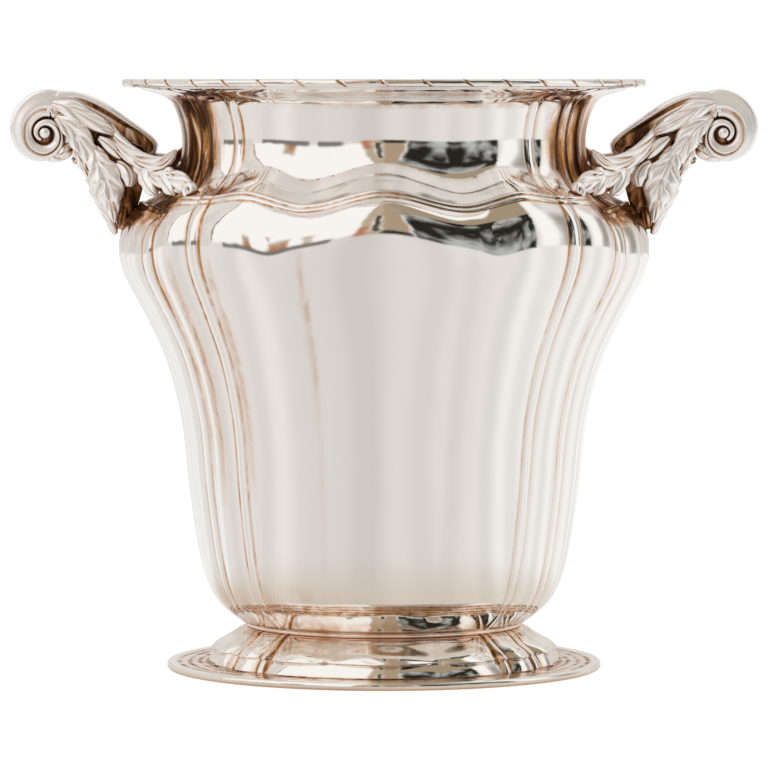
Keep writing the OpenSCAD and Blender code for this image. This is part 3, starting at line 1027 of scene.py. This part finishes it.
def branch_parts():
    """Strap from the fork round the side lobe to the crest, with its lobes and curls."""
    facing = (0.62, -0.78, 0.1)
    return [
        petal(
            [(107, -8, 211, 2.6), (102.5, -13, 205.4, 3.2), (96.5, -20.5, 200.2, 3.5),
             (90, -29.5, 197.4, 3.6), (84.5, -37, 197.6, 3.0), (81.2, -40.4, 200.4, 2.0),
             (79.6, -41.6, 203, 0.5)],
            facing, 3.2, ribs=3, sweep=1.8, cup=0.1, base=2.2),
        petal(
            [(96, -22, 197, 2.4), (89.5, -31, 193.8, 4.0), (83, -39.5, 192.2, 4.6),
             (77, -46.4, 190.4, 4.2), (72.8, -51, 188.2, 2.4)],
            facing, 3.0, ribs=4, sweep=1.4, cup=0.1, base=2.2, lobes=3, notch=0.2),
        petal(
            [(92.5, -28.6, 195.4, 2.4), (91.2, -31.6, 191.4, 3.4), (89, -34.4, 187.8, 2.8),
             (86.8, -36, 185.6, 0.8)],
            facing, 2.6, cup=0.2, lobes=2, notch=0.2, base=1.8),
        petal(
            [(85.5, -37, 193.4, 2.6), (83, -41, 190.4, 3.4), (81, -43.6, 187.6, 2.6),
             (79.8, -45, 185.8, 0.8)],
            facing, 2.6, cup=0.2, lobes=2, notch=0.2, base=1.8),
        curl((73.2, -51.8, 187.8), 2.7, (0.75, -0.66, 0.1), 100, 1.4, 1.6),
        curl((81.6, -42, 194.2), 2.3, (0.7, -0.72, 0.1), 20, 1.3, 1.3),
    ]


def leaf_parts():
    """Acanthus on the arm's side, the leaf that hangs in front of the shoulder, and its bud."""
    return [
        petal(
            [(113, -11.6, 203.6, 2.6), (110.4, -13.8, 197.4, 5.4), (107.4, -15.4, 190.8, 7.2),
             (105.8, -16, 184.6, 5.4), (105, -15.8, 179.4, 2.8), (104.4, -15, 174.4, 0.4)],
            (0.1, -1, 0.1), 3.2, ribs=4, cup=0.1, lobes=4, notch=0.16, steps=14, base=1.8),
        # Dark sheet of painted shade behind the front acanthus.
        petal(
            [(119, -5.5, 213.6, 3), (114, -6, 207, 5.4), (109.4, -7, 199.6, 6), (106.8, -7.6, 192, 5.4),
             (105.4, -7.6, 184, 3.8), (104.8, -7.6, 177, 1.6)],
            FRONT, 2.2, base=2, painted_shade=0.85),
        petal(
            [(103.4, -14, 197.6, 1.4), (100.2, -15.6, 195.6, 2.8), (98.4, -16.6, 192.2, 3.4),
             (98.8, -16.6, 188.4, 1.4)],
            (-0.2, -1, 0.1), 2.8, base=1.8),
        petal(
            [(129, -8.2, 220.6, 1.4), (121.6, -9.4, 218.4, 3.8), (114.6, -10.6, 214.4, 3.8),
             (108.8, -11.6, 211.4, 2.8), (104, -12.2, 208.4, 1.2)],
            (0, -1, 0.15), 2.6, ribs=2, sweep=1.6, cup=0.12, lobes=2, notch=0.16, base=2.6),
        petal(
            [(127.4, -8.2, 215.6, 1.6), (121.4, -9.8, 211.4, 4.6), (116.8, -11.2, 205.6, 5),
             (113.6, -12.4, 200, 3.8), (111.4, -12.8, 195.6, 1.4)],
            (0.2, -1, 0), 2.9, ribs=3, sweep=1.6, cup=0.14, lobes=3, notch=0.2, base=2.6),
        petal(
            [(110.6, -12, 207.4, 1.0), (106.6, -13.2, 204.6, 2.4), (103.4, -14, 201.6, 2.4),
             (101.4, -14.4, 198.8, 0.8)],
            (0, -1, 0), 2.4, cup=0.1, base=2.2),
        petal(
            [(120.8, -8, 208, 1.2), (118.8, -9.4, 203.6, 2.8), (116.8, -10.4, 199, 3.2),
             (114.8, -11, 194.4, 2.6), (113.2, -11.4, 190.6, 0.8)],
            (0.4, -1, 0), 2.4, ribs=3, cup=0.2, lobes=4, notch=0.36, base=2.0),
    ]


def outer_leaf_parts():
    """Leaf down the middle of the handle's outer side, and its root on the crest, a dark sheet of painted
    shade.
    """
    return [
        petal(
            [(112.4, 0, 208, 4), (114, 0, 201, 7.6), (114, 0, 194, 8), (112.4, 0, 187, 7),
             (109.6, 0, 181, 5), (107, 0, 175.6, 3), (104.8, 0, 169.4, 0.4)],
            (1, 0, 0.1), 2.4, ribs=8, cup=-0.16, lobes=6, notch=0.22, steps=12, base=2.4),
        # Root on the crest: dark sheet of painted shade that fills the gap between handle and shoulder.
        petal(
            [(111, 0, 203, 4), (106, 0, 197, 7.5), (102, 0, 190.4, 8), (101, 0, 184, 6),
             (101.6, 0, 177.4, 3.6), (102.8, 0, 171.4, 1.2)],
            FRONT, 5.2, ribs=4, base=5.2, painted_shade=0.72),
    ]


def spur_parts():
    """Small leaf that springs out under the volute and turns up at its tip."""
    return [
        petal(
            [(113.6, 0, 203.6, 2.6), (116.2, 0, 201, 3.6), (118.6, 0, 198.6, 3.2), (120.4, 0, 198.2, 2),
             (121.2, 0, 199.8, 0.6)],
            (0.5, 0, 1), 1.5, cup=0.2, lobes=2, notch=0.3, base=1.2),
    ]


def build_handle(side, flip):
    """All the cast pieces of one handle; flip mirrors the right handle to the left."""
    made = [
        ("scroll", scroll_parts(), "scroll"),
        ("front_strap", branch_parts(), "front_branch"),
        ("rear_strap", [mirrored(part, 1) for part in branch_parts()], "rear_branch"),
        ("front_acanthus", leaf_parts(), "front_leaf"),
        ("rear_acanthus", [mirrored(part, 1) for part in leaf_parts()], "rear_leaf"),
        ("outer_acanthus", outer_leaf_parts(), "outer_leaf"),
        ("spur_acanthus", spur_parts(), "spur_leaf"),
    ]
    for name, parts, cad in made:
        placed = [mirrored(part, 0) for part in parts] if flip else parts
        shape = joined(placed)
        cast = piece(f"{side}_{name}_cast", shape[:2], HANDLE_SILVER, "handle_silver", f"{side}_{cad}")
        patina_and_shade(cast, shape[2])


build_handle("right", False)
build_handle("left", True)


# ---- Room, floor and camera ----

LENS = 248.6
SENSOR_W = 36
CAMERA_AT = (0, -2.07, 0.2295)
AIM_AT = (0, 0, 0.111)
FLOOR_R = 3.0
DEGREES = 180 / math.pi
WHITE = (1, 1, 1, 1)
FLOOR_SIDES = 96
# Colours of the room and the floor, as the silver sees them
WALL = (0.8, 0.77, 0.75, 1)
WALL_DULL = (0.66, 0.62, 0.58, 1)
WINDOW = (0.97, 0.96, 0.95, 1)
BEIGE = (0.5, 0.4, 0.29, 1)
TAN = (0.42, 0.32, 0.22, 1)
TAUPE = (0.37, 0.29, 0.2, 1)
BRICK = (0.5, 0.2, 0.11, 1)
CHARCOAL = (0.02, 0.017, 0.012, 1)
CLOUDED = (0.5, 0.52, 0.5, 1)
DARK = (0.03, 0.028, 0.025, 1)
GREY = (0.2, 0.19, 0.17, 1)
DULL = (0.36, 0.34, 0.31, 1)
BROWN = (0.2, 0.09, 0.035, 1)
CEILING = (0.7, 0.64, 0.59, 1)
CEILING_WARM = (0.52, 0.44, 0.35, 1)
FLOOR_FRONT = (0.735, 0.705, 0.69, 1)
FLOOR_RIGHT = (0.92, 0.91, 0.9, 1)
FLOOR_LEFT = (0.86, 0.82, 0.8, 1)
# Colour of the painted shadow on the floor close to the bucket
FLOOR_SHADOW = (0.6, 0.5, 0.38, 1)
# Cards of the room and lines over them: first and last bearing, lowest and highest
# elevation; colour; softness of the edges. All of it in degrees.
CARDS = [
    ((-96, -16, 1, 69), WINDOW, 1.0),
    ((-56, -43, -5, 15), BEIGE, 2.5),
    ((-52, -45, -5, 9), BRICK, 2.5),
    ((-16, -1, -5, 92), BEIGE, 0.8),
    ((-17, -11, -5, 11), BRICK, 0.8),
    ((-1, 17.5, -5, 92), TAN, 0.8),
    ((17.5, 80, 40, 92), TAUPE, 3.0),
    ((78, 104, -5, 75), WINDOW, 6.0),
    ((104, 126, -5, 30), DULL, 7.0),
]
LINES = [
    ((-97, -95.6, 2, 60), BROWN, 0.5),
    ((16.4, 17.8, -5, 36), WINDOW, 0.3),
    ((-7, -2.5, 2, 34), DARK, 0.5),
    ((-8.5, -7.6, 2, 30), WINDOW, 0.3),
    ((-1.6, -0.8, 2, 34), WINDOW, 0.3),
    ((-84, -30, -5, 2.5), GREY, 0.8),
    ((-1, 17, -5, 2.5), DARK, 0.8),
]
DARK_CORNER = (17.5, 74, -5, 44)


def add_camera():
    """Camera at the photograph's height and angle."""
    data = bpy.data.cameras.new("camera")
    data.lens = LENS
    data.sensor_width = SENSOR_W
    camera = bpy.data.objects.new("camera", data)
    camera.location = CAMERA_AT
    aim = Vector(AIM_AT) - camera.location
    camera.rotation_euler = aim.to_track_quat("-Z", "Y").to_euler()
    bpy.context.scene.collection.objects.link(camera)
    bpy.context.scene.camera = camera


def between(tree, value, low, high, soft):
    """1 where the value lies between low and high, with soft edges."""
    above = remap(tree, value, low - soft, low + soft, 0, 1, smooth=True)
    return math_node(tree, "MULTIPLY", above, remap(tree, value, high - soft, high + soft, 1, 0, smooth=True))


def card(tree, under, angle, rise, place, value, soft):
    """Lays a coloured card over the room between two bearings and two elevations."""
    start, end, low, high = place
    across = between(tree, angle, start, end, soft)
    upward = between(tree, rise, low, high, soft)
    return mixed(tree, math_node(tree, "MULTIPLY", across, upward), under, value)


def bearing_of(tree, vector):
    """Bearing in degrees, 0 towards the camera and positive to the right, and the height part."""
    split = node(tree, "ShaderNodeSeparateXYZ")
    link(tree, vector, split.inputs[0])
    back = math_node(tree, "MULTIPLY", split.outputs["Y"], -1.0)
    turn = math_node(tree, "ARCTAN2", split.outputs["X"], back)
    return math_node(tree, "MULTIPLY", turn, DEGREES), split.outputs["Z"]


def room_colour(tree, direction):
    """Colour of the room by bearing (0 is behind the camera) and elevation, in degrees."""
    angle, up = bearing_of(tree, direction)
    rise = math_node(tree, "MULTIPLY", math_node(tree, "ARCSINE", up, 0.0), DEGREES)
    waver = remap(tree, noise(tree, direction, 5, 3, 0.6), 0.3, 0.7, -1.6, 1.6)
    angle = math_node(tree, "ADD", angle, waver)
    rise = math_node(tree, "ADD", rise, math_node(tree, "MULTIPLY", waver, 0.8))
    cloud = noise(tree, direction, 3.4, 4, 0.55)
    colour = mixed(tree, remap(tree, cloud, 0.35, 0.65, 0, 1), WALL, WALL_DULL)
    for place, value, soft in CARDS:
        colour = card(tree, colour, angle, rise, place, value, soft)
    dark = mixed(tree, remap(tree, cloud, 0.46, 0.68, 0, 1, smooth=True), CHARCOAL, CLOUDED)
    colour = card(tree, colour, angle, rise, DARK_CORNER, dark, 1.5)
    for place, value, soft in LINES:
        colour = card(tree, colour, angle, rise, place, value, soft)
    ceiling = mixed(tree, remap(tree, cloud, 0.4, 0.6, 0, 1), CEILING, CEILING_WARM)
    return mixed(tree, remap(tree, rise, 80, 87, 0, 1, smooth=True), colour, ceiling)


def add_world():
    """White all round, except that the silver reflects a room."""
    world = bpy.data.worlds.new("studio")
    bpy.context.scene.world = world
    world.use_nodes = True
    tree = world.node_tree
    background = tree.nodes["Background"]
    direction = node(tree, "ShaderNodeTexCoord").outputs["Generated"]
    rays = node(tree, "ShaderNodeLightPath")
    seen = mixed(tree, rays.outputs["Is Glossy Ray"], WHITE, room_colour(tree, direction))
    link(tree, seen, background.inputs["Color"])


def floor_tint(tree):
    """Colour of the floor in the silver, painted light: brighter to the right, dull in front, and a painted
    shadow close by.
    """
    place = node(tree, "ShaderNodeNewGeometry").outputs["Position"]
    bearing, _ = bearing_of(tree, place)
    colour = mixed(tree, remap(tree, bearing, 30, 80, 0, 1, smooth=True), FLOOR_FRONT, FLOOR_RIGHT)
    left = math_node(tree, "MULTIPLY", remap(tree, bearing, -30, -52, 0, 1, smooth=True),
                     remap(tree, bearing, -80, -60, 0, 1, smooth=True))
    colour = mixed(tree, left, colour, FLOOR_LEFT)
    colour = mixed(tree, remap(tree, bearing, -84, -120, 0, 1, smooth=True), colour, FLOOR_RIGHT)
    streak = node(tree, "ShaderNodeTexNoise", noise_dimensions="1D")
    set_inputs(streak, Scale=0.04, Detail=0.0)
    link(tree, bearing, streak.inputs["W"])
    shade = node(tree, "ShaderNodeVectorMath", operation="SCALE")
    link(tree, colour, shade.inputs[0])
    link(tree, remap(tree, streak.outputs["Fac"], 0.3, 0.7, 0.88, 1.05), shade.inputs["Scale"])
    colour = shade.outputs[0]
    # Painted shadow of the bucket on the floor, close by.
    away = node(tree, "ShaderNodeVectorMath", operation="LENGTH")
    link(tree, place, away.inputs[0])
    close = remap(tree, away.outputs["Value"], 0.09, 0.2, 1, 0, smooth=True)
    return mixed(tree, math_node(tree, "MULTIPLY", close, 0.5), colour, FLOOR_SHADOW)


def floor_paint():
    """White to the eye, slightly grey in the silver, clear from below."""
    material = bpy.data.materials.new("floor_paint")
    material.use_nodes = True
    tree = material.node_tree
    tree.nodes.remove(tree.nodes["Principled BSDF"])
    seen = node(tree, "ShaderNodeEmission")
    seen.inputs["Color"].default_value = WHITE
    reflected = node(tree, "ShaderNodeEmission")
    link(tree, floor_tint(tree), reflected.inputs["Color"])
    glossy = node(tree, "ShaderNodeLightPath").outputs["Is Glossy Ray"]
    above = either(tree, glossy, seen, reflected)
    below = node(tree, "ShaderNodeNewGeometry").outputs["Backfacing"]
    shown = either(tree, below, above, node(tree, "ShaderNodeBsdfTransparent"))
    link(tree, shown.outputs[0], tree.nodes["Material Output"].inputs["Surface"])
    return material


def either(tree, factor, first, second):
    """Shader that is the first where the factor is 0 and the second where it is 1."""
    made = node(tree, "ShaderNodeMixShader")
    for socket, output in zip(made.inputs, (factor, first.outputs[0], second.outputs[0])):
        link(tree, output, socket)
    return made


def add_floor():
    """Round pale floor that the bucket stands on."""
    mesh = bpy.data.meshes.new("floor")
    turns = np.linspace(0, 2 * math.pi, FLOOR_SIDES, endpoint=False)
    corners = [(FLOOR_R * math.cos(a), FLOOR_R * math.sin(a), 0) for a in turns]
    mesh.from_pydata(corners, [], [list(range(FLOOR_SIDES))])
    floor = bpy.data.objects.new("floor", mesh)
    bpy.context.scene.collection.objects.link(floor)
    mesh.materials.append(floor_paint())


add_camera()
add_world()
add_floor()
bpy.context.scene.view_settings.view_transform = "Standard"
